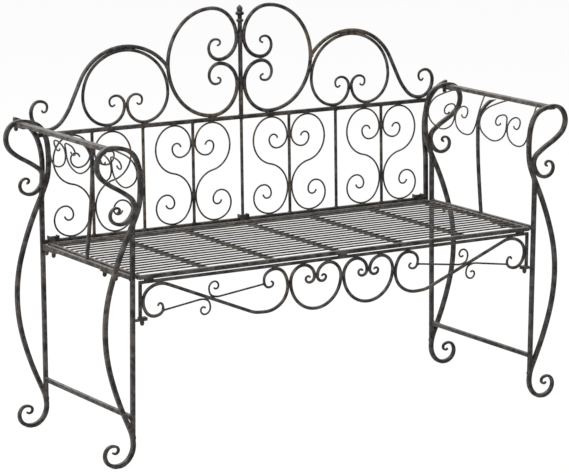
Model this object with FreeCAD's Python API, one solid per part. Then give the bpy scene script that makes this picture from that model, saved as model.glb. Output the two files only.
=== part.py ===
import FreeCAD, Part
import math
import os

# Garden bench in wrought iron, in mm. X runs across the bench, the front faces -Y, Z is up.
# Left is the -X side. The origin is on the floor in the middle of the bench's outer box.

V = FreeCAD.Vector
UP = V(0, 0, 1)
ACROSS = V(1, 0, 0)
BACK = V(0, 1, 0)

# Gaps between pieces
weld_gap = 0.2           # between two pieces that are welded together
stud_clearance = 0.3     # around a stud in a plate, all the way round
thread_clearance = 0.1   # around a stud in a nut, all the way round

# Side frames
post_spacing = 1162.0    # between the axes of the left and right posts
foot_depth = 420.0       # between the front and rear feet
rear_lean = 1.7          # degrees that the rear frames lean back
leg_bar = 10.0           # square bar of legs, posts and rails
leg_tip = 5.0            # the leg bar at the ends of its curls
foot_flat = 0.5          # filed off under each foot
foot_touch = 41.0        # post axis to where the foot loop rests
foot_out = 74.0          # post axis to the outer side of the foot loop
bow_out = 72.0           # post axis to the outer side of the leg's bow
bow_height = 325.0
ankle_height = 50.0      # floor to where the leg starts to leave the post
arm_height = 750.0       # floor to the bar axis at the top of the arm loops
arm_in = 21.0            # post axis in to the arm's hollow side
arm_out = 55.0           # post axis out to the middle of the armrest
loop_out = 92.5          # post axis to the outer side of the arm loop
stretcher_height = 114.4
armrest_width = 19.0
armrest_thickness = 9.5
armrest_drop = 0.5       # armrest top below the bar axis at the top of the loops
rib_bar = 7.5            # square bar in the middle of each arm
rib_in = 17.0            # post axis in to the hollow side of the rib
rib_drop = 72.0          # top of the loops to the hollow side of the rib
arm_wire = 4.0
scroll_bulge = 9.0       # arm scrolls' curls out from the rib's curve
scroll_drop = 52.0       # top of the loops to the middle of those curls
scroll_side = 57.0       # top of the loops to where the scrolls touch the bars

# Seat
seat_underside = 439.0
seat_side_gap = 10.0     # post to seat rail
cross_bar = 8.0
cross_bar_count = 5
seat_rod = 4.0
seat_rod_count = 17
bracket_width = 31.0
bracket_thickness = 3.0
front_studs = [77.0, 129.0]   # behind the front frame
rear_studs = [50.0, 15.0]     # in front of the rear frame's post
bracket_margin = 15.0         # stud to the end of its bracket

# Back
back_setback = 15.3      # rear frame to back panel, axis to axis at the seat
back_recline = 2.2       # degrees
back_inset = 8.0         # side post in to back post, axis to axis
back_foot = 6.0          # back posts' feet below the axis of the bottom rail
back_top_drop = 39.5     # top of the loops to the axis of the top rail
back_post_in = 12.5      # side post axis in to the hollow side of the back post
back_post_drop = 110.0   # top of the loops to that hollow side
post_end_out = 61.0      # side post axis out to the end of the back post
post_end_rise = 5.0      # end of the back post above the top of the loops
upright_bar = 7.8
upright_count = 7
back_wire = 4.5
back_lobe = 109.0        # upright axis to the far side of a back scroll

# Crest
crest_bar = 9.6
crest_tip = 5.0
ring_bar = 7.9
ring_tip = 4.5
centre_post = 11.2
heart_height = 268.0     # bar axis to bar axis
heart_width = 200.8
arch_rise = 198.5        # top rail axis to the arch's bar axis
arch_reach = 22.0        # back post axis out to the arch's end curl
ring_half = 119.7
ring_gap = 1.8           # heart's side to the ring's side, axis to axis
finial_height = 48.0
finial_collar = 22.0

# Apron
apron_spacer = 3.5
apron_spacer_length = 23.0
apron_frame = 7.0
apron_bar = 8.2
apron_tip = 5.0
apron_wire = 4.6
rod_bend = 11.0          # length of the bend in a thin rod, on each side of its corner
apron_inset = 20.0       # side post in to the apron's end bar, axis to axis
apron_centre_radius = 72.0
apron_depth = 95.0       # seat's underside to the middle of the apron tabs
apron_tab_length = 31.0
apron_tab_width = 14.0
tab_thickness = 4.0
back_tab_lap = 30.0      # length of a back tab under its armrest

# Studs and nuts
stud_diameter = 6.0
stud_grip = 9.0          # stud below its plate
nut_across_flats = 10.0
nut_hex_height = 6.0
nut_height = 12.0

# Clips between seat and back
clip_length = 27.0
clip_thickness = 2.5
clip_arm = 9.0           # clip's arms above the back's bottom rail
clip_drop = 5.0          # clip's lower edge below the rails' tops

post_x = post_spacing / 2.0
seat_top = seat_underside + leg_bar
back_half = post_x - back_inset
back_bottom_height = seat_top
back_top_height = arm_height - back_top_drop
apron_half = post_x - apron_inset
lean = math.radians(rear_lean)
recline = math.radians(back_recline)
parts = {}


def rear_y(height):
    return foot_depth + height * math.tan(lean)


seat_depth = rear_y(seat_underside)
back_y = seat_depth + back_setback


def heading(degrees):
    """Direction in the XZ plane, 0 along +X and 90 up."""
    angle = math.radians(degrees)
    return V(math.cos(angle), 0, math.sin(angle))


def at(x, z, degrees):
    """A place on a bar's path and the direction the bar runs there."""
    return V(x, 0, z), heading(degrees)


def arc(start, tangent, end):
    """Edge that leaves start along tangent and bends evenly to end."""
    chord = end - start
    side = tangent - chord * (tangent.dot(chord) / chord.dot(chord))
    if side.Length < 1e-6:
        return Part.LineSegment(start, end).toShape()
    bulge = chord.Length / 2 * math.tan(tangent.getAngle(chord) / 2)
    middle = (start + end) * 0.5 + side.normalize() * bulge
    return Part.Arc(start, middle, end).toShape()


def joined(first, second):
    """Two arcs that carry a bar smoothly from one place to the next."""
    p0, t0 = first
    p1, t1 = second
    chord = p1 - p0
    spread = 2 * (1 - t0.dot(t1))
    run = chord.dot(t0 + t1)
    if spread < 1e-9:
        reach = chord.dot(chord) / (2 * run)
    else:
        reach = (math.sqrt(run * run + spread * chord.dot(chord)) - run) / spread
    knee_0 = p0 + t0 * reach
    knee_1 = p1 - t1 * reach
    middle = (knee_0 + knee_1) * 0.5
    return [arc(p0, t0, middle), arc(middle, (knee_1 - knee_0).normalize(), p1)]


def path(places):
    edges = []
    for first, second in zip(places, places[1:]):
        edges += joined(first, second)
    return edges


def curl(place, turns):
    """Arcs of given radius and angle in the XZ plane, turning left for positive angles."""
    point, tangent = place
    edges = []
    for radius, degrees in turns:
        angle = math.degrees(math.atan2(tangent.z, tangent.x))
        side = heading(angle + math.copysign(90, degrees))
        centre = point + side * radius
        half = centre + heading(angle - math.copysign(90, degrees) + degrees / 2) * radius
        end = centre + heading(angle - math.copysign(90, degrees) + degrees) * radius
        edges.append(Part.Arc(point, half, end).toShape())
        point = end
        tangent = heading(angle + degrees)
    return edges


def section(edge, at_end, size, square):
    where = edge.LastParameter if at_end else edge.FirstParameter
    point = edge.valueAt(where)
    tangent = edge.tangentAt(where)
    if not square:
        return Part.Wire(Part.makeCircle(size / 2, point, tangent))
    side = tangent.cross(BACK) * (size / 2)
    deep = BACK * (size / 2)
    corners = [point + side + deep, point - side + deep, point - side - deep, point + side - deep]
    return Part.makePolygon(corners + corners[:1])


def bar(edges, size, end_size=None, square=False):
    """Bar along a path, tapering to end_size where that is given."""
    pipe = Part.BRepOffsetAPI.MakePipeShell(Part.Wire(edges))
    if square:
        pipe.setBiNormalMode(BACK)
    pipe.add(section(edges[0], False, size, square))
    if end_size:
        pipe.add(section(edges[-1], True, end_size, square))
    pipe.build()
    pipe.makeSolid()
    return pipe.shape()


def fused(shapes):
    return shapes[0].fuse(shapes[1:]).removeSplitter().Solids[0]


def largest(shape):
    return max(shape.Solids, key=lambda solid: solid.Volume)


def box(x0, x1, y0, y1, z0, z1):
    return Part.makeBox(x1 - x0, y1 - y0, z1 - z0, V(x0, y0, z0))


def square_bar(x, y, z, length, size, axis):
    """Straight bar with its middle at x, y, z."""
    half = [size / 2, size / 2, size / 2]
    half[axis] = length / 2
    return box(x - half[0], x + half[0], y - half[1], y + half[1], z - half[2], z + half[2])


def rod(start, end, diameter):
    return Part.makeCylinder(diameter / 2, (end - start).Length, start, end - start)


def mirrored(shape):
    return shape.mirror(V(0, 0, 0), ACROSS)


def moved(shape, x=0, y=0, z=0):
    copy = shape.copy()
    copy.translate(V(x, y, z))
    return copy


def both_sides(name, shape):
    """A piece of the right side and its mirror image on the left."""
    parts["right_" + name] = shape
    parts["left_" + name] = mirrored(shape)


def height_at(edges, x, above):
    """Height where a path first crosses x above a given height."""
    points = []
    for edge in edges:
        points += edge.discretize(60)
    for a, b in zip(points, points[1:]):
        if min(a.z, b.z) > above and (a.x - x) * (b.x - x) <= 0 and a.x != b.x:
            return a.z + (b.z - a.z) * (x - a.x) / (b.x - a.x)


# Side frames, drawn on the right side in their own flat plane


def leg_and_post(stretch):
    """Leg bar from foot curl to arm curl, and the post that closes its bow."""

    def out(u, z, degrees):
        return at(post_x + u, z * stretch, degrees)

    floor_axis = leg_bar / 2 - foot_flat
    top = arm_height
    rest = out(foot_touch, floor_axis / stretch, 180)
    meeting = out(-arm_in + 9, top - 155, 112)
    beside = meeting[0] + heading(22) * (leg_bar + weld_gap)
    back_on_leg = (beside, heading(-68))
    body = path([
        rest,
        out(-1, ankle_height, 90),
        out(22, 120, 66),
        out(bow_out, bow_height, 90),
        out(23, top - 230, 114),
        meeting,
        out(-arm_in, top - 95, 90),
        out(-9.5, top - 30, 64),
        out(arm_out, top, 0),
        out(loop_out, top - 39, -90),
        out(46, top - 92.5, 207),
        back_on_leg,
    ])
    foot_end = path([
        (rest[0], heading(0)),
        out(foot_out, 33, 90),
        out(foot_out - 19, 54.5, 180),
        out(foot_out - 35.5, 43.5, 270),
        out(foot_out - 26.5, 35.5, 360),
        out(foot_out - 20, 38.5, 390),
    ])
    arm_end = path([
        back_on_leg,
        out(31.5, top - 177.5, 0),
        out(58, top - 155.5, 90),
        out(42, top - 138.5, 180),
        out(33.5, top - 145, 270),
        out(39.5, top - 150.5, 355),
    ])
    pieces = [
        bar(body, leg_bar, square=True),
        bar(foot_end, leg_bar, leg_tip, square=True),
        bar(arm_end, leg_bar, leg_tip, square=True),
    ]
    low = height_at(body, post_x, ankle_height)
    high = height_at(body, post_x, bow_height)
    post = box(post_x - leg_bar / 2, post_x + leg_bar / 2, -leg_bar / 2, leg_bar / 2, low, high)
    coping = bar(body, leg_bar + 2 * weld_gap, square=True)
    return fused(pieces), largest(post.cut(coping))


def leaned(shape):
    """Carries a piece from the front plane to the rear frame."""
    copy = moved(shape, y=foot_depth)
    copy.rotate(V(0, foot_depth, 0), ACROSS, -rear_lean)
    return copy


leg, post = leg_and_post(1.0)
rear_leg, rear_post = leg_and_post(1 / math.cos(lean))
ground = box(-2 * post_x, 2 * post_x, -foot_depth, 2 * foot_depth, -50, 0)
both_sides("front_leg", largest(leg.cut(ground)))
both_sides("rear_leg", largest(leaned(rear_leg).cut(ground)))
both_sides("front_post", post)
both_sides("rear_post", leaned(rear_post))


def fore_and_aft(height, half_height):
    """Front and rear ends of a piece that butts between the two frames."""
    front = leg_bar / 2 + weld_gap
    rear = rear_y(height - half_height) - leg_bar / 2 / math.cos(lean) - weld_gap
    return front, rear


front, rear = fore_and_aft(stretcher_height, leg_bar / 2)
stretcher = square_bar(post_x, (front + rear) / 2, stretcher_height, rear - front, leg_bar, 1)
both_sides("foot_stretcher", stretcher)

side_rail_height = seat_underside + leg_bar / 2
front, rear = fore_and_aft(side_rail_height, leg_bar / 2)
side_rail = square_bar(post_x, (front + rear) / 2, side_rail_height, rear - front, leg_bar, 1)
both_sides("side_rail", side_rail)

armrest_x = post_x + arm_out
armrest_top = arm_height - armrest_drop
armrest_low = armrest_top - armrest_thickness
front, rear = fore_and_aft(armrest_low, 0)
armrest_edge = armrest_x - armrest_width / 2
armrest_side = armrest_x + armrest_width / 2
both_sides("armrest", box(armrest_edge, armrest_side, front, rear, armrest_low, armrest_top))

# Rib in the middle of each arm, and the wire scrolls that hang beside it

rib_y = seat_depth / 2
rib_foot = seat_top + weld_gap
rib_path = path([
    at(post_x - (leg_bar - rib_bar) / 2, rib_foot, 96),
    at(post_x - rib_in, arm_height - rib_drop, 90),
    at(post_x - rib_in + 25, arm_height - rib_drop + 50, 40),
    at(armrest_x, armrest_top, 22),
])
above_armrest = box(0, 2 * post_x, -foot_depth, 2 * foot_depth, armrest_low - weld_gap, 2 * arm_height)
below_rib = box(0, 2 * post_x, -foot_depth, 2 * foot_depth, 0, rib_foot)
rib = bar(rib_path, rib_bar, square=True).cut(above_armrest)
both_sides("arm_rib", moved(largest(rib.cut(below_rib)), y=rib_y))

armrest_grown = box(armrest_edge - weld_gap, armrest_side + weld_gap, -foot_depth, 2 * foot_depth,
                    armrest_low - weld_gap, armrest_top + weld_gap)


def on_arm(y, height, degrees):
    """Place beside the rib's curve, with 0 degrees along +Y and 90 up the curve."""
    points = []
    for edge in rib_path:
        points += edge.discretize(60)
    for a, b in zip(points, points[1:]):
        if a.z <= height < b.z:
            break
    point = a + (b - a) * ((height - a.z) / (b.z - a.z))
    angle = math.radians(degrees)
    tangent = BACK * math.cos(angle) + (b - a).normalize() * math.sin(angle)
    return V(point.x, y, point.z), tangent


def arm_scroll(bay_middle, bay_half, sign):
    """Wire from the armrest down beside a bar, up past the bay's middle and into a curl."""
    reach = bay_half - arm_wire / 2 - weld_gap
    near = (arm_wire + weld_gap) / 2

    def place(v, drop, degrees, bulge=0.0):
        turn = degrees if sign > 0 else 180 - degrees
        point, tangent = on_arm(bay_middle + sign * v, arm_height - drop, turn)
        return point + ACROSS * bulge, tangent

    edges = path([
        place(reach - 46, armrest_drop + armrest_thickness / 2, -48),
        place(reach, scroll_side, -90),
        place(reach - 52, scroll_drop + 53, -180, scroll_bulge / 2),
        place(near, scroll_drop + 14, -270, scroll_bulge),
        place(near + 23, scroll_drop - 15, -360, scroll_bulge),
        place(near + 47, scroll_drop + 1, -450, scroll_bulge),
        place(near + 37, scroll_drop + 12, -540, scroll_bulge),
        place(near + 25, scroll_drop + 5, -620, scroll_bulge),
    ])
    return largest(bar(edges, arm_wire).cut(armrest_grown))


front_bay = [leg_bar / 2, rib_y - rib_bar / 2]
rear_bay = [rib_y + rib_bar / 2, rear_y(arm_height - scroll_side) - leg_bar / 2 / math.cos(lean)]
scrolls = []
for low_y, high_y in [front_bay, rear_bay]:
    for sign in [-1, 1]:
        scrolls.append(arm_scroll((low_y + high_y) / 2, (high_y - low_y) / 2, sign))
both_sides("arm_scrolls", Part.makeCompound(scrolls))

# Seat panel

seat_half = post_x - leg_bar / 2 - seat_side_gap
end_rail_x = seat_half - leg_bar / 2
half_bar = leg_bar / 2
parts["seat_front_rail"] = box(-seat_half, seat_half, -half_bar, half_bar, seat_underside, seat_top)
parts["seat_rear_rail"] = moved(parts["seat_front_rail"], y=seat_depth)
inner_front = half_bar + weld_gap
inner_rear = seat_depth - half_bar - weld_gap
end_rail = box(end_rail_x - half_bar, seat_half, inner_front, inner_rear, seat_underside, seat_top)
both_sides("seat_end_rail", end_rail)

cross_pitch = 2 * end_rail_x / (cross_bar_count + 1)
cross_top = seat_top - seat_rod / 2 - weld_gap
cross_bars = []
for index in range(cross_bar_count):
    x = (index + 1) * cross_pitch - end_rail_x
    cross_bars.append(box(x - cross_bar / 2, x + cross_bar / 2, inner_front, inner_rear,
                          cross_top - cross_bar, cross_top))
parts["seat_cross_bars"] = Part.makeCompound(cross_bars)

rod_pitch = seat_depth / (seat_rod_count + 1)
rod_end = end_rail_x - half_bar - weld_gap
rods = []
for index in range(seat_rod_count):
    y = (index + 1) * rod_pitch
    rods.append(rod(V(-rod_end, y, seat_top), V(rod_end, y, seat_top), seat_rod))
parts["seat_rods"] = Part.makeCompound(rods)

# Studs, each welded under a piece and passing through a plate into a nut

studs = []
nuts = []


def drilled(plate, x, y):
    hole = Part.makeCylinder(stud_diameter / 2 + stud_clearance, 200, V(x, y, plate.BoundBox.ZMin - 50))
    return plate.cut(hole)


def fasten(x, y, welded_under, plate_low, coping=None):
    """Stud below a piece at welded_under, coped if it meets a bar, and a domed nut below a plate."""
    stud_low = plate_low - stud_grip
    stud = rod(V(x, y, stud_low), V(x, y, welded_under - weld_gap), stud_diameter)
    studs.append(largest(stud.cut(coping)) if coping else stud)
    nut_top = plate_low - weld_gap
    corner = nut_across_flats / 2 / math.cos(math.radians(30))
    corners = []
    for index in range(7):
        angle = math.radians(60 * index)
        corners.append(V(x + corner * math.cos(angle), y + corner * math.sin(angle), nut_top))
    hexagon = Part.Face(Part.makePolygon(corners)).extrude(V(0, 0, -nut_hex_height))
    dome_radius = nut_across_flats / 2
    dome_height = nut_height - nut_hex_height
    dome_axis = nut_top - nut_height + dome_radius
    dome = Part.makeSphere(dome_radius, V(x, y, dome_axis))
    stem_length = dome_height - dome_radius + nut_hex_height / 2
    stem = Part.makeCylinder(dome_radius, stem_length, V(x, y, dome_axis))
    bore_radius = stud_diameter / 2 + thread_clearance
    bore = Part.makeCylinder(bore_radius, nut_height, V(x, y, stud_low - stud_clearance))
    nuts.append(fused([hexagon, stem, dome]).cut(bore).Solids[0])


# Brackets under the side rails that carry the seat panel

bracket_top = seat_underside - weld_gap
bracket_low = bracket_top - bracket_thickness
bracket_out = post_x + leg_bar / 2
rear_face = rear_y(bracket_low) - leg_bar / 2 / math.cos(lean)
brackets = []
for stud_places in [front_studs, [rear_face - inset for inset in rear_studs]]:
    plate = box(bracket_out - bracket_width, bracket_out, stud_places[0] - bracket_margin,
                min(stud_places[1] + bracket_margin, rear_face - weld_gap), bracket_low, bracket_top)
    for stud_y in stud_places:
        plate = drilled(plate, post_x, stud_y)
        fasten(post_x, stud_y, seat_underside, bracket_low)
    brackets.append(plate.Solids[0])

# Apron below the seat's front rail

apron_top = seat_underside - apron_spacer
apron_rail_low = apron_top - apron_frame
apron_side = apron_half + apron_frame / 2
parts["apron_top_bar"] = box(-apron_side, apron_side, -apron_frame / 2, apron_frame / 2,
                             apron_rail_low, apron_top)
spacers = []
spacer_x = apron_half - apron_spacer_length
for x in [-spacer_x, 0, spacer_x]:
    spacers.append(box(x - apron_spacer_length / 2, x + apron_spacer_length / 2, -apron_frame / 2,
                       apron_frame / 2, apron_top + weld_gap, seat_underside - weld_gap))
parts["apron_spacers"] = Part.makeCompound(spacers)

tab_top = seat_underside - apron_depth + tab_thickness / 2
tab_low = tab_top - tab_thickness
tab_out = post_x - leg_bar / 2 - weld_gap
tab_half = apron_tab_width / 2
plate_low = tab_top + weld_gap
plate_top = plate_low + tab_thickness
plate_end = tab_out - apron_tab_length
stud_x = plate_end + apron_tab_width / 2 + 4
tab = drilled(box(plate_end, tab_out, -tab_half, tab_half, tab_low, tab_top), stud_x, 0).Solids[0]
foot_plate = box(plate_end, apron_side, -tab_half, tab_half, plate_low, plate_top)
fasten(stud_x, 0, plate_low, tab_low)
both_sides("apron_end_bar", square_bar(apron_half, 0, (plate_top + apron_rail_low) / 2,
                                       apron_rail_low - plate_top - 2 * weld_gap, apron_frame, 2))

# Apron scrolls, drawn on the right side

lobe_top = apron_rail_low - weld_gap - apron_bar / 2
bar_meeting = (apron_bar + weld_gap) / 2
centre_axis = apron_centre_radius + bar_meeting
centre_z = lobe_top - 37
inner_lobe = at(centre_axis + bar_meeting, centre_z + 7, -90)
half_circle = path([
    at(centre_axis, centre_z - apron_centre_radius, 0),
    at(centre_axis + apron_centre_radius, centre_z, 90),
    at(centre_axis + 36, lobe_top, 180),
    inner_lobe,
])
centre_curl = path([
    inner_lobe,
    at(centre_axis + 18, lobe_top - 44, 0),
    at(centre_axis + 29, lobe_top - 34.5, 90),
    at(centre_axis + 22, lobe_top - 28.5, 180),
    at(centre_axis + 17, lobe_top - 32.5, 260),
])
half_scroll = fused([bar(half_circle, apron_bar), bar(centre_curl, apron_bar, apron_tip)])
other_half = half_scroll.mirror(V(centre_axis, 0, 0), ACROSS)
both_sides("apron_centre_scroll", fused([half_scroll, other_half]))

side_inner_x = centre_axis + apron_centre_radius + apron_bar + weld_gap
side_outer_x = apron_half - apron_frame / 2 - weld_gap - apron_bar / 2
diagonal_low = V(side_inner_x + 104, 0, centre_z - 58)
diagonal_high = V(side_outer_x - 66, 0, lobe_top - 4)
diagonal_tilt = math.degrees(math.atan2(diagonal_high.z - diagonal_low.z, diagonal_high.x - diagonal_low.x))
inner_top = at(side_inner_x + 36, lobe_top, 0)
outer_z = plate_top - 1.5
outer_low = at(side_outer_x - 31, outer_z, 180)
body = path([
    (inner_top[0], heading(180)),
    at(side_inner_x, centre_z - 9, -90),
    at(side_inner_x + 61, centre_z - 64, 0),
    (diagonal_low, heading(diagonal_tilt)),
    (diagonal_high, heading(diagonal_tilt)),
    at(side_outer_x - 45, lobe_top, 0),
    at(side_outer_x, (lobe_top + outer_z) / 2, -90),
    outer_low,
])
inner_curl = path([
    inner_top,
    at(side_inner_x + 67, lobe_top - 24, -90),
    at(side_inner_x + 53, lobe_top - 43, -180),
    at(side_inner_x + 41, lobe_top - 35, -270),
    at(side_inner_x + 47, lobe_top - 29.5, -350),
])
outer_curl = path([
    outer_low,
    at(side_outer_x - 53.5, outer_z + 16.5, 90),
    at(side_outer_x - 45, outer_z + 29, 0),
    at(side_outer_x - 40, outer_z + 23, -90),
])
side_scroll = fused([
    bar(body, apron_bar),
    bar(inner_curl, apron_bar, apron_tip),
    bar(outer_curl, apron_bar, apron_tip),
])
both_sides("apron_side_scroll", side_scroll)

# Thin rods on either side of the long diagonal of each side scroll

diagonal_middle = (diagonal_low + diagonal_high) * 0.5
along = heading(diagonal_tilt)
over = V(-along.z, 0, along.x) * (apron_bar / 2 + apron_wire / 2 + weld_gap)
touch_high = diagonal_middle - along * 6 + over
touch_low = diagonal_middle + along * 6 - over


def thin_rod(touch, way, start_x, tilt):
    """Straight rod that bends along the diagonal where it touches it, then curls away."""
    straight = heading(tilt)
    bend = touch - way * rod_bend - straight * rod_bend
    start = bend - straight * ((bend.x - start_x) / straight.x)
    side = touch + V(math.copysign(10, way.x), 0, math.copysign(19, way.x))
    upward = V(0, 0, math.copysign(1, way.x))
    edges = path([(start, straight), (bend, straight), (touch, way), (side, upward)])
    return edges + curl((side, upward), [(15, 90), (11, 90), (7, 90), (6, 60)])


high_rod = thin_rod(touch_high, along, side_inner_x + 60, -7)
low_rod = thin_rod(touch_low, along * -1, side_outer_x - 50, 172)
curls_grown = bar(inner_curl, apron_bar + 2 * weld_gap, apron_tip + 2 * weld_gap)
curls_grown = curls_grown.fuse(bar(outer_curl, apron_bar + 2 * weld_gap, apron_tip + 2 * weld_gap))
thin_rods = [largest(bar(edges, apron_wire).cut(curls_grown)) for edges in [high_rod, low_rod]]
both_sides("apron_rods", Part.makeCompound(thin_rods))

# Back panel, drawn upright and then leaned back


def panel(shape):
    copy = moved(shape, y=back_y)
    copy.rotate(V(0, back_y, seat_underside), ACROSS, -back_recline)
    return copy


def panel_y(height):
    return back_y + (height - seat_underside) * math.tan(recline)


end_post_path = path([
    at(back_half, back_bottom_height - back_foot, 90),
    at(back_half, arm_height - back_post_drop - 95, 90),
    at(post_x - back_post_in, arm_height - back_post_drop, 90),
    at(post_x + 31, arm_height - 9, 35),
    at(post_x + post_end_out, arm_height + post_end_rise, 12),
])
both_sides("back_post", panel(bar(end_post_path, leg_bar, square=True)))
posts_grown = bar(end_post_path, leg_bar + 2 * weld_gap, square=True)
posts_grown = posts_grown.fuse(mirrored(posts_grown))

bottom_rail = square_bar(0, 0, back_bottom_height, 2 * back_half, leg_bar, 0).cut(posts_grown)
top_rail = square_bar(0, 0, back_top_height, 2 * post_x, leg_bar, 0).cut(posts_grown)
parts["back_bottom_rail"] = panel(largest(bottom_rail))
parts["back_top_rail"] = panel(largest(top_rail))

low_face = back_bottom_height + half_bar + weld_gap
high_face = back_top_height - half_bar - weld_gap
upright_pitch = 2 * back_half / (upright_count + 1)
uprights = []
for index in range(upright_count):
    x = (index + 1) * upright_pitch - back_half
    uprights.append(panel(rod(V(x, 0, low_face), V(x, 0, high_face), upright_bar)))
parts["back_uprights"] = Part.makeCompound(uprights)

by_upright = upright_bar / 2 + weld_gap + back_wire / 2
wire_half = back_wire / 2
upper_side = at(by_upright, high_face - 51, 90)
lower_top = at(back_lobe - 30, low_face + 77, 180)
s_path = path([
    upper_side,
    at(by_upright + 48, high_face - wire_half, 0),
    at(back_lobe - 1, high_face - 60, -90),
    at(by_upright, low_face + 67, -90),
    at(by_upright + 55, low_face + wire_half, 0),
    at(back_lobe, low_face + 44, 90),
    lower_top,
])
upper_curl = curl((upper_side[0], heading(-90)), [(31.5, 90), (22.5, 90), (13, 90), (12, 80)])
lower_curl = curl(lower_top, [(22.5, 90), (12.5, 90), (12, 80)])
s_scroll = fused([bar(s_path + lower_curl, back_wire), bar(upper_curl, back_wire)])
for number, place in enumerate([0, 2, 4, 6], 1):
    x = (place + 1) * upright_pitch - back_half
    pair = [panel(moved(s_scroll, x=x)), panel(moved(mirrored(s_scroll), x=x))]
    parts["back_scroll_pair_%d" % number] = Part.makeCompound(pair)

# Crest on the back's top rail

rail_face = back_top_height + half_bar + weld_gap
crest_half = crest_bar / 2
heart_low = rail_face + crest_half
heart_middle = heart_low + heart_height / 2
heart_left = centre_post / 2 + weld_gap + crest_half
heart_right = heart_left + heart_width
inner_low = at(heart_left + 51, heart_middle + (crest_bar + weld_gap) / 2, 0)
heart_body = path([
    at(heart_right, heart_middle, 90),
    at(heart_left + 73, heart_low + heart_height, 180),
    at(heart_left, heart_middle + 58, -90),
    inner_low,
])
heart_curl = path([
    inner_low,
    at(heart_left + 82, heart_middle + 34, 90),
    at(heart_left + 63, heart_middle + 56, 180),
    at(heart_left + 48.5, heart_middle + 47, 270),
    at(heart_left + 57, heart_middle + 40, 350),
])
half_heart = fused([bar(heart_body, crest_bar), bar(heart_curl, crest_bar, crest_tip)])
heart = fused([half_heart, half_heart.mirror(V(0, 0, heart_middle), UP)])
both_sides("crest_heart", panel(heart))

arch_top = back_top_height + arch_rise
arch_middle = heart_right + ring_gap + ring_half
arch_slope_x = arch_middle + ring_half
arch_end_x = back_half + arch_reach
arch_side = at(arch_end_x, rail_face + 49, 90)
arch_path = path([
    at(heart_right, heart_middle - 5, 54),
    at(arch_middle, arch_top, 0),
    at(arch_slope_x + 6.5, arch_top - 77, -64),
    at(arch_slope_x + 33.5, arch_top - 132.4, -64),
    at(arch_end_x - 42, rail_face + crest_half, 0),
    arch_side,
])
arch_curl = path([
    arch_side,
    at(arch_end_x - 23, rail_face + 76, 180),
    at(arch_end_x - 44, rail_face + 61, 270),
    at(arch_end_x - 35, rail_face + 48.5, 360),
    at(arch_end_x - 29, rail_face + 53.5, 410),
])
heart_grown = bar(heart_body, crest_bar + 2 * weld_gap)
heart_grown = heart_grown.fuse(heart_grown.mirror(V(0, 0, heart_middle), UP))
arch_bar = largest(bar(arch_path, crest_bar).cut(heart_grown))
both_sides("crest_arch", panel(fused([arch_bar, bar(arch_curl, crest_bar, crest_tip)])))

ring_top = arch_top - crest_half - weld_gap - ring_bar / 2
ring_inner = at(arch_middle + (ring_bar + weld_gap) / 2, rail_face + 50, 90)
ring_body = path([
    at(arch_middle, ring_top, 0),
    at(arch_middle + ring_half, rail_face + 75, -90),
    at(arch_middle + 51, rail_face + ring_bar / 2, 180),
    ring_inner,
])
ring_curl = path([
    ring_inner,
    at(arch_middle + 28, rail_face + 74.5, 0),
    at(arch_middle + 46, rail_face + 60.5, -90),
    at(arch_middle + 38, rail_face + 49, -180),
    at(arch_middle + 31, rail_face + 53.5, -240),
])
half_ring = fused([bar(ring_body, ring_bar), bar(ring_curl, ring_bar, ring_tip)])
ring = fused([half_ring, half_ring.mirror(V(arch_middle, 0, 0), ACROSS)])
both_sides("crest_ring", panel(ring))

finial_low = heart_low + heart_height + 5 - finial_height
parts["crest_post"] = panel(rod(V(0, 0, rail_face), V(0, 0, finial_low - weld_gap), centre_post))
neck = centre_post / 2
collar = finial_collar / 2
bead = (neck + collar) / 2 + 1
finial_line = [
    Part.LineSegment(V(0, 0, 0), V(neck, 0, 0)).toShape(),
    Part.LineSegment(V(neck, 0, 0), V(neck, 0, 4)).toShape(),
    Part.Arc(V(neck, 0, 4), V(bead, 0, 8), V(neck, 0, 12)).toShape(),
    Part.LineSegment(V(neck, 0, 12), V(neck, 0, 21)).toShape(),
    Part.Arc(V(neck, 0, 21), V(collar, 0, 26), V(neck, 0, 31)).toShape(),
    Part.Arc(V(neck, 0, 31), V(neck + 2, 0, 38), V(neck - 1, 0, 44)).toShape(),
    Part.LineSegment(V(neck - 1, 0, 44), V(0, 0, finial_height)).toShape(),
    Part.LineSegment(V(0, 0, finial_height), V(0, 0, 0)).toShape(),
]
finial = Part.Face(Part.Wire(finial_line)).revolve(V(0, 0, 0), UP, 360)
parts["crest_finial"] = panel(moved(finial, z=finial_low))

# Tabs under the armrests' rear ends, each with a boss that carries the end of a back post

back_tab_top = armrest_low - weld_gap
back_tab_low = back_tab_top - bracket_thickness
back_stud_y = panel_y(arm_height)
tab_front = rear_y(armrest_low) - half_bar - back_tab_lap
tab_rear = back_stud_y + leg_bar
plate = box(armrest_edge, armrest_side, tab_front, tab_rear, back_tab_low, back_tab_top)
post_axis = arm_height + post_end_rise
post_coping = panel(posts_grown)
boss = rod(V(armrest_x, back_stud_y, back_tab_top), V(armrest_x, back_stud_y, post_axis), leg_bar)
back_tab = drilled(fused([plate, largest(boss.cut(post_coping))]), armrest_x, back_stud_y).Solids[0]
fasten(armrest_x, back_stud_y, post_axis, back_tab_low, post_coping)

# Clips between the seat's rear rail and the back's bottom rail

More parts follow.
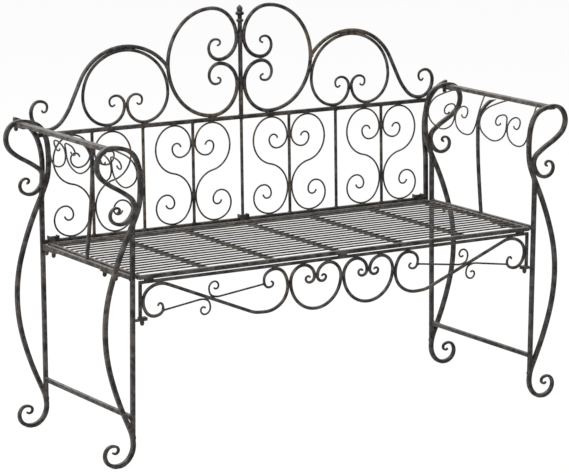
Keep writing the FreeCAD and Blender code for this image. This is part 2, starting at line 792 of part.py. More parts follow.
clip_front = seat_depth + half_bar + weld_gap
clip_rear = panel_y(back_bottom_height) + half_bar
clip_rest = back_bottom_height + half_bar + 2 * weld_gap
clip_low = min(seat_top, clip_rest) - clip_drop
clip_top = max(seat_top, clip_rest) + clip_arm
clip = box(-clip_length / 2, clip_length / 2, clip_front, clip_front + clip_thickness, clip_low, clip_top)
for x in [-clip_length / 2, clip_length / 2 - clip_thickness]:
    clip = clip.fuse(box(x, x + clip_thickness, clip_front, clip_rear, clip_rest, clip_top))
clip = clip.removeSplitter().Solids[0]
clip_x = back_half - 28
parts["back_clips"] = Part.makeCompound([moved(clip, x=x) for x in [-clip_x, 0, clip_x]])

for name, pieces in [
    ("seat_brackets", brackets),
    ("apron_tabs", [tab]),
    ("apron_foot_plates", [foot_plate]),
    ("back_tabs", [back_tab]),
    ("studs", studs),
    ("cap_nuts", nuts),
]:
    parts[name] = Part.makeCompound(pieces + [mirrored(piece) for piece in pieces])

# The origin goes to the middle of the outer box, on the floor

whole = Part.makeCompound(list(parts.values())).optimalBoundingBox(False, False)
os.makedirs("parts", exist_ok=True)
for name, shape in parts.items():
    moved(shape, y=-(whole.YMin + whole.YMax) / 2).exportStep("parts/" + name + ".step")
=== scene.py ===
"""Looks of a wrought iron garden bench: rubbed paint, rolled bars, welds and a plain studio."""

import math

import bpy
import numpy as np
from mathutils import Matrix, Vector
from mathutils.bvhtree import BVHTree


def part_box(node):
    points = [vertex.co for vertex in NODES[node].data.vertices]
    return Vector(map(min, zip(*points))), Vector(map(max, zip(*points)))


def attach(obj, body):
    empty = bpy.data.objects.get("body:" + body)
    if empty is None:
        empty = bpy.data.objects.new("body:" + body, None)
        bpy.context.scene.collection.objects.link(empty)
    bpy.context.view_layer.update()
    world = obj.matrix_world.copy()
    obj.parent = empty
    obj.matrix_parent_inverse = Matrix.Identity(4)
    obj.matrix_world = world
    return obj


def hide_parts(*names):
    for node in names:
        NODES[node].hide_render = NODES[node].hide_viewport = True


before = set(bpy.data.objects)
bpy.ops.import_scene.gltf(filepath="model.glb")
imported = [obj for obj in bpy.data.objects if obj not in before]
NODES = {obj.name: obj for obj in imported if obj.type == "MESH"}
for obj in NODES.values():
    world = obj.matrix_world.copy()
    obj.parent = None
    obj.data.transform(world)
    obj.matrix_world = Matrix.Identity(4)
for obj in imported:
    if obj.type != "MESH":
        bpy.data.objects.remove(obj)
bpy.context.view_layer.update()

bl_info = {
    "name": "Wrought Iron Garden Bench",
    "version": (1, 0, 0),
    "blender": (4, 5, 0),
    "location": "View3D > Sidebar > Bench",
    "description": "Paints the bench, rounds its bars, welds its joints and lights it",
    "category": "Object",
}

SIDES = ("left_", "right_")
PHOTO_WIDTH = 569
PHOTO_HEIGHT = 473

# Spans in metres of the paint's patterns, and the width of its rubbed edges
PATCH_SPAN = 0.14
BRUSH_SPAN = 0.018
MARK_SPAN = 0.012
SPECKLE_SPAN = 0.0024
GRAIN_SPAN = 0.0007
EDGE_SPAN = 0.0022

# Pattern values at which each effect starts and is full
THIN_COAT = (0.35, 0.7)
WORN_STROKE = (0.3, 0.7)
RUBBED_SPECKLE = (0.38, 0.62)
RUBBED_PATCH = (0.5, 0.72)
RUBBED_STREAK = (0.3, 0.75)
ROUGH_SPECKLE = (0.3, 0.7)

# Upward part of the normal at which a face counts as a side and as a top, where the pale paint stands for
# wear on the sides and also for painted light on the tops
SIDE_TO_TOP = (0.3, 0.95)

# Cosine between the true and the rounded normal where a face is flat and where it is an edge
FLAT_TO_EDGE = (0.985, 0.9)

# Share of the pale paint (wear, and painted light on the tops) that is left between the brush strokes, and
# how metallic the rubbed bronze is
LEAST_STROKE = 0.4
BRONZE_METAL = 0.55

# Roughness of the speckles below and above the mean, and the strength of the paint's reflections
SMOOTHER = 0.08
ROUGHER = 0.12
PAINT_SHEEN = 0.23

# Strength of the hammer marks and of the grain, whose depth is a share of that of the marks
MARK_STRENGTH = 0.45
MARK_SMOOTHNESS = 0.8
GRAIN_STRENGTH = 0.25
GRAIN_SHARE = 0.3

# Corners closer than this many metres are merged before a bar's edges are rounded
MERGE_GAP = 0.00001

# Two triangles make one quad up to the first angle between them, and up to the second between its corners
FLAT_ANGLE = math.radians(2)
QUAD_ANGLE = math.radians(60)

# Edges sharper than the first angle are rounded, and those flatter than the second are shaded smooth
EDGE_ANGLE = math.radians(50)
SMOOTH_ANGLE = math.radians(32)

# Steps in the round of a bar's edge and of a plate's edge
BAR_STEPS = 2
PLATE_STEPS = 1

# Points where two pieces nearly touch make one weld if they lie this close together
WELD_SPAN = 0.011

# A weld is turned along its joint where its squared length is at least this many times its squared width
LONG_WELD = 6.0

# Rounding and unevenness of a lump of weld that is two units wide, and the seeds of its three forms
LUMP_ROUND = 0.6
LUMP_STEPS = 2
LUMP_UNEVEN = 0.07
LUMP_SEEDS = (1, 2, 3)

# Keeps the spread of a single touching point above zero
LEAST_SPREAD = 1e-12

# Strength at which the backdrop shows as plain white
WHITE = 1.0

# Glow of the floor and its share of the floor's look, the rest of which is matt and keeps the shadow
FLOOR_GLOW = 1.06
GLOW_SHARE = 0.86
FLOOR_SPAN = 60.0

# Places and sizes of the lamps in metres, and the point that they shine at
KEY_PLACE = (-3.4, -1.0, 4.4)
KEY_SIZE = (4.5, 3.0)
RIM_PLACE = (1.6, 3.2, 2.4)
RIM_SIZE = (3.4, 1.6)
LAMP_AIM = (0.0, 0.0, 0.4)

# Width of the camera's sensor in millimetres, and how many metres it sees
SENSOR_WIDTH = 36.0
SIGHT = 100.0

# Square and flat bars and plates. A name stands for the piece in the middle, or for the left and right ones.
FRAME_BARS = ("front_leg", "rear_leg", "front_post", "rear_post", "foot_stretcher", "side_rail", "arm_rib",
              "back_post")
ARMRESTS = ("armrest",)
SEAT_BARS = ("seat_front_rail", "seat_rear_rail", "seat_end_rail", "seat_cross_bars")
BACK_BARS = ("back_bottom_rail", "back_top_rail")
APRON_BARS = ("apron_top_bar", "apron_end_bar")
PLATES = ("seat_brackets", "apron_tabs", "apron_foot_plates", "back_tabs", "back_clips", "apron_spacers")

# Round bars, wires, rods and fasteners
ROUND_WORK = ("arm_scrolls", "apron_centre_scroll", "apron_side_scroll", "apron_rods", "crest_heart",
              "crest_arch", "crest_ring", "crest_post", "crest_finial", "back_scroll_pair_1",
              "back_scroll_pair_2", "back_scroll_pair_3", "back_scroll_pair_4", "back_uprights")
SEAT_RODS = ("seat_rods",)
FASTENERS = ("studs", "cap_nuts")

# Pairs of pieces that are welded together, by the part of the bench that they belong to
SIDE_WELDS = (
    ("foot_stretcher", "front_post"), ("foot_stretcher", "rear_post"),
    ("side_rail", "front_post"), ("side_rail", "rear_post"),
    ("front_post", "front_leg"), ("rear_post", "rear_leg"),
    ("armrest", "front_leg"), ("armrest", "rear_leg"),
    ("arm_rib", "side_rail"), ("arm_rib", "armrest"),
)
ARM_WELDS = (
    ("arm_scrolls", "armrest"), ("arm_scrolls", "front_leg"),
    ("arm_scrolls", "arm_rib"), ("arm_scrolls", "rear_leg"),
)
SEAT_WELDS = (
    ("seat_end_rail", "seat_front_rail"), ("seat_end_rail", "seat_rear_rail"),
    ("seat_cross_bars", "seat_front_rail"), ("seat_cross_bars", "seat_rear_rail"),
)
SEAT_TACKS = (("seat_rods", "seat_end_rail"),)
APRON_WELDS = (
    ("apron_end_bar", "apron_top_bar"), ("apron_end_bar", "apron_foot_plates"),
    ("apron_side_scroll", "apron_top_bar"), ("apron_side_scroll", "apron_end_bar"),
    ("apron_side_scroll", "apron_centre_scroll"), ("apron_centre_scroll", "apron_top_bar"),
    ("apron_rods", "apron_side_scroll"), ("apron_tabs", "front_post"),
)
BACK_WELDS = (
    ("back_bottom_rail", "back_post"), ("back_top_rail", "back_post"),
    ("back_uprights", "back_bottom_rail"), ("back_uprights", "back_top_rail"),
)
BACK_TACKS = tuple(
    ("back_scroll_pair_%d" % number, piece)
    for number in range(1, 5)
    for piece in ("back_bottom_rail", "back_top_rail", "back_uprights")
)
CREST_WELDS = (
    ("crest_heart", "back_top_rail"), ("crest_heart", "crest_post"), ("crest_arch", "crest_heart"),
    ("crest_arch", "back_top_rail"), ("crest_ring", "back_top_rail"), ("crest_ring", "crest_arch"),
    ("crest_ring", "crest_heart"), ("crest_post", "back_top_rail"),
)


class BenchPaint(bpy.types.PropertyGroup):
    """Colours and wear of the painted iron, with the pale paint that also serves as painted light on upper
    faces.
    """

    dark: bpy.props.FloatVectorProperty(
        name="Dark paint", description="Charcoal paint where it lies thick", subtype="COLOR", size=3,
        min=0.0, max=1.0, default=(0.0065, 0.006, 0.0058))
    light: bpy.props.FloatVectorProperty(
        name="Thin paint", description="Charcoal paint where it is brushed thin", subtype="COLOR", size=3,
        min=0.0, max=1.0, default=(0.07, 0.0632, 0.0598))
    bronze: bpy.props.FloatVectorProperty(
        name="Rubbed bronze", description="Bronze that was rubbed over the paint", subtype="COLOR", size=3,
        min=0.0, max=1.0, default=(0.17, 0.115, 0.06))
    # Pale paint for worn faces; it is laid on more the more a face looks upward, so it is also painted light
    # on the tops
    worn_and_lit: bpy.props.FloatVectorProperty(
        name="Worn paint", description="Paint worn pale by rain and hands", subtype="COLOR", size=3,
        min=0.0, max=1.0, default=(0.158, 0.143, 0.13))
    gloss: bpy.props.FloatProperty(
        name="Roughness", description="Mean roughness of the satin paint", subtype="FACTOR",
        min=0.0, max=1.0, default=0.42)
    dent: bpy.props.FloatProperty(
        name="Hammer marks", description="Depth of the hammer marks", unit="LENGTH",
        min=0.0, max=0.002, default=0.0005)


class BenchIron(bpy.types.PropertyGroup):
    """Sizes of the rounded edges and of the welds."""

    edge: bpy.props.FloatProperty(
        name="Bar edge", description="Radius of the rolled edges of square bars", unit="LENGTH",
        min=0.0001, max=0.003, default=0.0009)
    plate_edge: bpy.props.FloatProperty(
        name="Plate edge", description="Radius of the edges of plates and clips", unit="LENGTH",
        min=0.0001, max=0.002, default=0.0004)
    fillet: bpy.props.FloatProperty(
        name="Weld fillet", description="How far a weld stands out of the joint of two bars", unit="LENGTH",
        min=0.0002, max=0.004, default=0.0014)
    tack: bpy.props.FloatProperty(
        name="Tack weld", description="How far a tack weld stands out of a joint of thin bars", unit="LENGTH",
        min=0.0002, max=0.003, default=0.0009)
    reach: bpy.props.FloatProperty(
        name="Weld reach", description="Widest gap that counts as a welded joint", unit="LENGTH",
        min=0.0001, max=0.003, default=0.0008)


class BenchStage(bpy.types.PropertyGroup):
    """Camera, floor and light."""

    azimuth: bpy.props.FloatProperty(
        name="Azimuth", description="Camera's turn about the bench", subtype="ANGLE",
        default=math.radians(-33.338))
    elevation: bpy.props.FloatProperty(
        name="Elevation", description="Camera's height above the horizon", subtype="ANGLE",
        default=math.radians(11.127))
    roll: bpy.props.FloatProperty(
        name="Roll", description="Camera's tilt to one side", subtype="ANGLE", default=math.radians(0.5255))
    distance: bpy.props.FloatProperty(
        name="Distance", description="Camera to the point that it looks at", unit="LENGTH", default=6.7008)
    target: bpy.props.FloatVectorProperty(
        name="Target", description="Point that the camera looks at", subtype="TRANSLATION", size=3,
        default=(-0.0093, -0.0199, 0.4754))
    focal_pixels: bpy.props.FloatProperty(
        name="Focal length", description="Camera's focal length in pixels of the picture", default=2723.0)
    centre_x: bpy.props.FloatProperty(
        name="Centre column", description="Pixel column of the camera's axis", default=289.99)
    centre_y: bpy.props.FloatProperty(
        name="Centre row", description="Pixel row of the camera's axis", default=224.59)
    floor: bpy.props.FloatVectorProperty(
        name="Floor", description="Colour of the floor", subtype="COLOR", size=3, min=0.0, max=1.0,
        default=(0.9, 0.9, 0.9))
    ambient: bpy.props.FloatProperty(
        name="Ambient light", description="Strength of the light from all round", min=0.0, default=0.41)
    key: bpy.props.FloatProperty(
        name="Key light", description="Power of the large lamp up on the left", unit="POWER", min=0.0,
        default=370.0)
    rim: bpy.props.FloatProperty(
        name="Rim light", description="Power of the large lamp behind", unit="POWER", min=0.0, default=14.0)


def sided(names):
    """Names of the nodes that stand for these pieces, with both sides where a piece has two."""
    found = []
    for name in names:
        options = [name] if name in NODES else [side + name for side in SIDES]
        missing = [option for option in options if option not in NODES]
        if missing:
            raise RuntimeError("the frame has no node named " + ", ".join(missing))
        found += options
    return found


def alone(piece):
    """Makes a piece the only selected and active one."""
    bpy.ops.object.select_all(action="DESELECT")
    piece.select_set(True)
    bpy.context.view_layer.objects.active = piece


def dress(piece, material):
    """Gives a piece one material in place of those that it had."""
    piece.data.materials.clear()
    piece.data.materials.append(material)


def settle(piece):
    """Lets a finished piece ride on the bench."""
    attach(piece, "root")


class Nodes:
    """Short way to add and join shader nodes."""

    def __init__(self, tree):
        self.tree = tree
        tree.nodes.clear()

    def add(self, kind, inputs=None, **settings):
        """New node with its options set and its inputs fed."""
        node = self.tree.nodes.new(kind)
        for key, value in settings.items():
            setattr(node, key, value)
        for key, value in (inputs or {}).items():
            self.feed(node.inputs[key], value)
        return node

    def feed(self, socket, value):
        """Links an output to a socket, or sets the socket to a constant."""
        if isinstance(value, bpy.types.NodeSocket):
            self.tree.links.new(value, socket)
        else:
            socket.default_value = value

    def math(self, operation, first, second, clamp=False):
        """Result of a sum or product of two values."""
        node = self.add("ShaderNodeMath", operation=operation, use_clamp=clamp)
        self.feed(node.inputs[0], first)
        self.feed(node.inputs[1], second)
        return node.outputs[0]

    def mix(self, factor, first, second):
        """Blend of two colours, through the sockets that the node has for colours."""
        node = self.add("ShaderNodeMix", data_type="RGBA")
        self.feed(node.inputs[0], factor)
        self.feed(node.inputs[6], first)
        self.feed(node.inputs[7], second)
        return node.outputs[2]

    def ramp(self, value, low, high, to_low=0.0, to_high=1.0):
        """Smooth passage from to_low at low to to_high at high."""
        node = self.add("ShaderNodeMapRange", {
            "Value": value, "From Min": low, "From Max": high, "To Min": to_low, "To Max": to_high,
        }, interpolation_type="SMOOTHSTEP")
        return node.outputs[0]

    def noise(self, where, scale, detail, rough, twist=0.0):
        """Grey cloud pattern, with scale clouds to the metre."""
        node = self.add("ShaderNodeTexNoise", {
            "Vector": where, "Scale": scale, "Detail": detail, "Roughness": rough, "Distortion": twist,
        })
        return node.outputs["Fac"]


def opaque(colour):
    """Colour with its alpha."""
    return (colour[0], colour[1], colour[2], 1.0)


def iron_finish(name, patches, edges, worn_and_lit_tops, sides):
    """Charcoal paint with hammer marks, bronze rubbed on patches and edges, and pale paint on worn sides and,
    as painted light, on the upper faces.
    """
    paint = bpy.context.scene.bench_paint
    material = bpy.data.materials.new(name)
    material.use_nodes = True
    nodes = Nodes(material.node_tree)
    where = nodes.add("ShaderNodeTexCoord").outputs["Object"]
    broad = nodes.noise(where, 1 / PATCH_SPAN, detail=3.0, rough=0.6, twist=0.4)
    brush = nodes.noise(where, 1 / BRUSH_SPAN, detail=4.0, rough=0.6)
    speckle = nodes.noise(where, 1 / SPECKLE_SPAN, detail=3.0, rough=0.6)

    thin = nodes.ramp(brush, *THIN_COAT)
    coat = nodes.mix(thin, opaque(paint.dark), opaque(paint.light))

    # Pale paint that grows towards upward faces: wear on the sides, and painted light on the tops
    normal = nodes.add("ShaderNodeNewGeometry").outputs["Normal"]
    upward = nodes.add("ShaderNodeSeparateXYZ", {"Vector": normal}).outputs["Z"]
    worn_and_lit_faces = nodes.ramp(upward, *SIDE_TO_TOP, sides, worn_and_lit_tops)
    stroke = nodes.ramp(brush, *WORN_STROKE, LEAST_STROKE, 1.0)
    wear_and_top_light = nodes.math("MULTIPLY", worn_and_lit_faces, stroke)
    coat = nodes.mix(wear_and_top_light, coat, opaque(paint.worn_and_lit))

    bevel = nodes.add("ShaderNodeBevel", {"Radius": EDGE_SPAN}, samples=6).outputs["Normal"]
    turned = nodes.add("ShaderNodeVectorMath", operation="DOT_PRODUCT")
    nodes.feed(turned.inputs[0], normal)
    nodes.feed(turned.inputs[1], bevel)
    sharp = nodes.ramp(turned.outputs["Value"], *FLAT_TO_EDGE)
    rubbed = nodes.ramp(speckle, *RUBBED_SPECKLE)
    edge_rub = nodes.math("MULTIPLY", nodes.math("MULTIPLY", sharp, rubbed), edges)
    patch = nodes.ramp(broad, *RUBBED_PATCH)
    streak = nodes.ramp(brush, *RUBBED_STREAK)
    patch_rub = nodes.math("MULTIPLY", nodes.math("MULTIPLY", patch, streak), patches)
    rub = nodes.math("ADD", edge_rub, patch_rub, clamp=True)
    colour = nodes.mix(rub, coat, opaque(paint.bronze))
    metal = nodes.math("MULTIPLY", rub, BRONZE_METAL)
    rough = nodes.ramp(speckle, *ROUGH_SPECKLE, paint.gloss - SMOOTHER, paint.gloss + ROUGHER)

    dents = nodes.add("ShaderNodeTexVoronoi", {
        "Vector": where, "Scale": 1 / MARK_SPAN, "Smoothness": MARK_SMOOTHNESS,
    }, feature="SMOOTH_F1").outputs["Distance"]
    hammered = nodes.add("ShaderNodeBump", {
        "Height": dents, "Strength": MARK_STRENGTH, "Distance": paint.dent,
    }).outputs["Normal"]
    grain = nodes.noise(where, 1 / GRAIN_SPAN, detail=2.0, rough=0.5)
    grained = nodes.add("ShaderNodeBump", {
        "Height": grain, "Strength": GRAIN_STRENGTH, "Distance": paint.dent * GRAIN_SHARE, "Normal": hammered,
    }).outputs["Normal"]
    shader = nodes.add("ShaderNodeBsdfPrincipled", {
        "Base Color": colour, "Roughness": rough, "Metallic": metal, "Normal": grained,
        "Specular IOR Level": PAINT_SHEEN,
    })
    nodes.add("ShaderNodeOutputMaterial", {"Surface": shader.outputs["BSDF"]})
    return material


def finishes():
    """All finishes of the bench, made once and kept by name.

    Each recipe gives the strength of the rubbed patches, rubbed edges, pale upper faces (wear and painted top
    light) and worn sides.
    """
    recipes = {
        "frame_iron": (0.22, 0.5, 0.9, 0.0),
        "armrest_iron": (0.1, 0.4, 0.8, 0.4),
        "scroll_iron": (0.55, 0.4, 0.5, 0.0),
        "seat_iron": (0.35, 0.5, 0.9, 0.0),
        "fastener_iron": (0.15, 0.4, 0.4, 0.0),
        "weld_iron": (0.5, 0.2, 0.5, 0.0),
    }
    made = {}
    for name, recipe in recipes.items():
        made[name] = bpy.data.materials.get(name) or iron_finish(name, *recipe)
    return made


def rounded_copy(node, radius, steps, material):
    """Copy of a sharp-edged bar with rolled edges, which takes the bar's place."""
    mesh = NODES[node].data.copy()
    piece = bpy.data.objects.new(node + "_rolled", mesh)
    bpy.context.scene.collection.objects.link(piece)
    alone(piece)
    bpy.ops.object.mode_set(mode="EDIT")
    bpy.ops.mesh.select_all(action="SELECT")
    bpy.ops.mesh.remove_doubles(threshold=MERGE_GAP)
    bpy.ops.mesh.tris_convert_to_quads(face_threshold=FLAT_ANGLE, shape_threshold=QUAD_ANGLE)
    bpy.ops.object.mode_set(mode="OBJECT")
    bevel = piece.modifiers.new("rolled edge", "BEVEL")
    bevel.limit_method = "ANGLE"
    bevel.angle_limit = EDGE_ANGLE
    bevel.width = radius
    bevel.segments = steps
    bpy.ops.object.modifier_apply(modifier=bevel.name)
    bpy.ops.object.shade_smooth_by_angle(angle=SMOOTH_ANGLE)
    dress(piece, material)
    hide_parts(node)
    settle(piece)


def weld_lump(seed):
    """One lump of weld, two units wide, that is copied to the joints."""
    bpy.ops.object.select_all(action="DESELECT")
    bpy.ops.mesh.primitive_cube_add(size=2.0)
    lump = bpy.context.object
    bpy.ops.object.mode_set(mode="EDIT")
    bpy.ops.mesh.select_all(action="SELECT")
    bpy.ops.mesh.bevel(offset=LUMP_ROUND, segments=LUMP_STEPS, affect="EDGES")
    bpy.ops.mesh.select_all(action="SELECT")
    bpy.ops.transform.vertex_random(offset=LUMP_UNEVEN, uniform=1.0, seed=seed)
    bpy.ops.object.mode_set(mode="OBJECT")
    bpy.ops.object.shade_smooth()
    return lump


TREES = {}


def surface(node):
    """Search tree over a node's triangles, made once."""
    if node not in TREES:
        mesh = NODES[node].data
        corners = [vertex.co for vertex in mesh.vertices]
        faces = [tuple(polygon.vertices) for polygon in mesh.polygons]
        TREES[node] = BVHTree.FromPolygons(corners, faces)
    return TREES[node]


def touching(first, second, reach):
    """Points half way between two nodes where they nearly touch."""
    points = []
    for one, other in ((first, second), (second, first)):
        low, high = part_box(other)
        for vertex in NODES[one].data.vertices:
            spot = vertex.co
            if any(spot[i] < low[i] - reach or spot[i] > high[i] + reach for i in range(3)):
                continue
            near = surface(other).find_nearest(spot, reach)[0]
            if near is not None:
                points.append((spot + near) / 2)
    return points


def gathered(points, spread):
    """Groups of points that lie within spread of the first one of their group."""
    groups = []
    for point in points:
        for group in groups:
            if (point - group[0]).length < spread:
                group.append(point)
                break
        else:
            groups.append([point])
    return groups


def lump_place(group, fillet):
    """Matrix that fits a lump of weld round a group of touching points, with one side along Y."""
    spots = np.array([tuple(point) for point in group])
    centre = (spots.min(0) + spots.max(0)) / 2
    away = spots - centre
    upright = away[:, [0, 2]]
    spread, turn = np.linalg.eigh(upright.T @ upright + np.eye(2) * LEAST_SPREAD)
    if spread[1] < LONG_WELD * spread[0]:
        turn = np.eye(2)
    axes = np.array(((turn[0, 0], 0, turn[0, 1]), (0, 1, 0), (turn[1, 0], 0, turn[1, 1])))
    half = np.abs(away @ axes).max(0) + fillet
    matrix = Matrix.Identity(4)
    for column in range(3):
        for row in range(3):
            matrix[row][column] = axes[row, column] * half[column]
        matrix[column][3] = centre[column]
    if matrix.to_3x3().determinant() < 0:
        for row in range(3):
            matrix[row][0] = -matrix[row][0]
    return matrix


def paired(pairs):
    """Node names of welded pairs, side by side where a piece has two sides."""
    for first, second in pairs:
        for one in sided([first]):
            for other in sided([second]):
                opposite = one.split("_")[0] != other.split("_")[0]
                if opposite and one.startswith(SIDES) and other.startswith(SIDES):
                    continue
                yield one, other


def weld_group(name, pairs, fillet):
    """All welds of one part of the bench, as one piece."""
    iron = bpy.context.scene.bench_iron
    lumps = [weld_lump(seed) for seed in LUMP_SEEDS]
    made = []
    for first, second in paired(pairs):
        for group in gathered(touching(first, second, iron.reach), WELD_SPAN):
            mesh = lumps[len(made) % len(lumps)].data.copy()
            mesh.transform(lump_place(group, fillet))
            bead = bpy.data.objects.new(name, mesh)
            bpy.context.scene.collection.objects.link(bead)
            made.append(bead)
    if not made:
        raise RuntimeError("no joints were found for " + name)
    for lump in lumps:
        bpy.data.objects.remove(lump)
    bpy.ops.object.select_all(action="DESELECT")
    for bead in made:
        bead.select_set(True)
    bpy.context.view_layer.objects.active = made[0]
    bpy.ops.object.join()
    piece = bpy.context.object
    piece.name = name
    dress(piece, finishes()["weld_iron"])
    settle(piece)


class BENCH_OT_frame_bars(bpy.types.Operator):
    """Legs, posts, rails and armrests as bars with rolled edges"""

    bl_idname = "bench.frame_bars"
    bl_label = "Frame Bars"

    def execute(self, context):
        edge = context.scene.bench_iron.edge
        for node in sided(FRAME_BARS + BACK_BARS):
            rounded_copy(node, edge, BAR_STEPS, finishes()["frame_iron"])
        for node in sided(ARMRESTS):
            rounded_copy(node, edge, BAR_STEPS, finishes()["armrest_iron"])
        return {"FINISHED"}


class BENCH_OT_seat_bars(bpy.types.Operator):
    """Rails and cross bars of the seat with rolled edges, and its round rods"""

    bl_idname = "bench.seat_bars"
    bl_label = "Seat Bars"

    def execute(self, context):
        edge = context.scene.bench_iron.edge
        for node in sided(SEAT_BARS):
            rounded_copy(node, edge, BAR_STEPS, finishes()["seat_iron"])
        for node in sided(SEAT_RODS):
            dress(NODES[node], finishes()["seat_iron"])
        return {"FINISHED"}


class BENCH_OT_apron_bars(bpy.types.Operator):
    """Bars and plates that hold the apron, the seat and the back"""

    bl_idname = "bench.apron_bars"
    bl_label = "Apron Bars and Plates"

    def execute(self, context):
        iron = context.scene.bench_iron
        for node in sided(APRON_BARS):
            rounded_copy(node, iron.edge, BAR_STEPS, finishes()["scroll_iron"])
        for node in sided(PLATES):
            rounded_copy(node, iron.plate_edge, PLATE_STEPS, finishes()["fastener_iron"])
        return {"FINISHED"}


class BENCH_OT_scrollwork(bpy.types.Operator):
    """Finish of the scrolls, the back's uprights, the crest and the fasteners"""

    bl_idname = "bench.scrollwork"
    bl_label = "Scrollwork"

    def execute(self, context):
        for node in sided(ROUND_WORK):
            dress(NODES[node], finishes()["scroll_iron"])
        for node in sided(FASTENERS):
            dress(NODES[node], finishes()["fastener_iron"])
        return {"FINISHED"}


class BENCH_OT_welds(bpy.types.Operator):
    """Weld beads and tack welds where the pieces meet"""

    bl_idname = "bench.welds"
    bl_label = "Welds"

    def execute(self, context):
        iron = context.scene.bench_iron
        weld_group("side_welds", SIDE_WELDS, iron.fillet)
        weld_group("arm_tacks", ARM_WELDS, iron.tack)
        weld_group("seat_welds", SEAT_WELDS, iron.tack)
        weld_group("seat_tacks", SEAT_TACKS, iron.tack)
        weld_group("apron_welds", APRON_WELDS, iron.tack)
        weld_group("back_welds", BACK_WELDS, iron.fillet)
        weld_group("back_tacks", BACK_TACKS, iron.tack)
        weld_group("crest_welds", CREST_WELDS, iron.fillet)
        return {"FINISHED"}


def plainly_seen(nodes):
    """One for what the camera sees, also in a reflection or through glass, and zero for other light."""
    ray = nodes.add("ShaderNodeLightPath").outputs
    seen = nodes.math("ADD", ray["Is Camera Ray"], ray["Is Glossy Ray"], clamp=True)
    return nodes.math("ADD", seen, ray["Is Transmission Ray"], clamp=True)


def studio_floor(stage):
    """Large pale floor that shows white to the camera and keeps a soft shadow."""
    bpy.ops.object.select_all(action="DESELECT")
    bpy.ops.mesh.primitive_plane_add(size=FLOOR_SPAN)
    floor = bpy.context.object
    floor.name = "studio_floor"
    material = bpy.data.materials.new("pale_floor")
    material.use_nodes = True
    nodes = Nodes(material.node_tree)
    matt = nodes.add("ShaderNodeBsdfDiffuse", {"Color": opaque(stage.floor)})
    glow = nodes.add("ShaderNodeEmission", {"Color": (1, 1, 1, 1), "Strength": FLOOR_GLOW})
    share = nodes.math("MULTIPLY", plainly_seen(nodes), GLOW_SHARE)
    mixed = nodes.add("ShaderNodeMixShader", {0: share, 1: matt.outputs[0], 2: glow.outputs[0]})
    nodes.add("ShaderNodeOutputMaterial", {"Surface": mixed.outputs[0]})
    dress(floor, material)


def soft_lamp(name, place, size, power):
    """Large rectangular lamp that shines at the bench."""
    bpy.ops.object.light_add(type="AREA", location=place)
    lamp = bpy.context.object
    lamp.name = name
    lamp.data.shape = "RECTANGLE"
    lamp.data.size, lamp.data.size_y = size
    lamp.data.energy = power
    aim = Vector(LAMP_AIM) - lamp.location
    lamp.rotation_euler = aim.to_track_quat("-Z", "Y").to_euler()


def studio_light(stage):
    """Even light from all round, with a large soft lamp up on the left and one behind."""
    world = bpy.data.worlds.new("studio")
    bpy.context.scene.world = world
    world.use_nodes = True
    nodes = Nodes(world.node_tree)
    backdrop = nodes.math("MULTIPLY", plainly_seen(nodes), WHITE - stage.ambient)
    strength = nodes.math("ADD", backdrop, stage.ambient)
    light = nodes.add("ShaderNodeBackground", {"Color": (1, 1, 1, 1), "Strength": strength})
    nodes.add("ShaderNodeOutputWorld", {"Surface": light.outputs[0]})

    soft_lamp("key_lamp", KEY_PLACE, KEY_SIZE, stage.key)
    soft_lamp("rim_lamp", RIM_PLACE, RIM_SIZE, stage.rim)


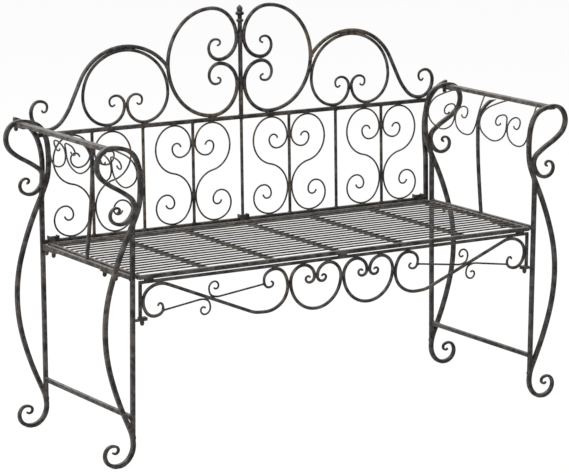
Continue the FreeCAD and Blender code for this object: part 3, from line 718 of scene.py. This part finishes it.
def photo_camera(stage):
    """Camera at the photograph's place, with its lens and framing."""
    azimuth = stage.azimuth
    elevation = stage.elevation
    back = Vector((math.sin(azimuth) * math.cos(elevation), -math.cos(azimuth) * math.cos(elevation),
                   math.sin(elevation)))
    level = Vector((math.cos(azimuth), math.sin(azimuth), 0.0))
    upward = back.cross(level)
    right = level * math.cos(stage.roll) + upward * math.sin(stage.roll)
    upward = back.cross(right)
    data = bpy.data.cameras.new("photo_camera")
    data.sensor_width = SENSOR_WIDTH
    data.lens = stage.focal_pixels * SENSOR_WIDTH / PHOTO_WIDTH
    data.shift_x = (PHOTO_WIDTH / 2 - stage.centre_x) / PHOTO_WIDTH
    data.shift_y = (stage.centre_y - PHOTO_HEIGHT / 2) / PHOTO_WIDTH
    data.clip_end = SIGHT
    camera = bpy.data.objects.new("photo_camera", data)
    bpy.context.scene.collection.objects.link(camera)
    turn = Matrix((right, upward, back)).transposed()
    camera.matrix_world = Matrix.Translation(Vector(stage.target) + back * stage.distance) @ turn.to_4x4()
    bpy.context.scene.camera = camera


class BENCH_OT_stage(bpy.types.Operator):
    """Pale floor, soft light and the camera"""

    bl_idname = "bench.stage"
    bl_label = "Stage"

    def execute(self, context):
        stage = context.scene.bench_stage
        studio_floor(stage)
        studio_light(stage)
        photo_camera(stage)
        context.scene.view_settings.view_transform = "Standard"
        return {"FINISHED"}


STEPS = ("frame_bars", "seat_bars", "apron_bars", "scrollwork", "welds", "stage")


class BENCH_PT_panel(bpy.types.Panel):
    """Steps that dress the bench, and their settings"""

    bl_idname = "BENCH_PT_panel"
    bl_label = "Garden Bench"
    bl_space_type = "VIEW_3D"
    bl_region_type = "UI"
    bl_category = "Bench"

    def draw(self, context):
        for step in STEPS:
            self.layout.operator("bench." + step)
        for settings in (context.scene.bench_paint, context.scene.bench_iron, context.scene.bench_stage):
            box = self.layout.box()
            for name in settings.bl_rna.properties.keys():
                if name not in ("rna_type", "name"):
                    box.prop(settings, name)


CLASSES = (BenchPaint, BenchIron, BenchStage, BENCH_OT_frame_bars, BENCH_OT_seat_bars, BENCH_OT_apron_bars,
           BENCH_OT_scrollwork, BENCH_OT_welds, BENCH_OT_stage, BENCH_PT_panel)


def register():
    for cls in CLASSES:
        bpy.utils.register_class(cls)
    bpy.types.Scene.bench_paint = bpy.props.PointerProperty(type=BenchPaint)
    bpy.types.Scene.bench_iron = bpy.props.PointerProperty(type=BenchIron)
    bpy.types.Scene.bench_stage = bpy.props.PointerProperty(type=BenchStage)


def unregister():
    del bpy.types.Scene.bench_stage
    del bpy.types.Scene.bench_iron
    del bpy.types.Scene.bench_paint
    for cls in reversed(CLASSES):
        bpy.utils.unregister_class(cls)


def main():
    register()
    for step in STEPS:
        getattr(bpy.ops.bench, step)()


if __name__ == "__main__":
    main()
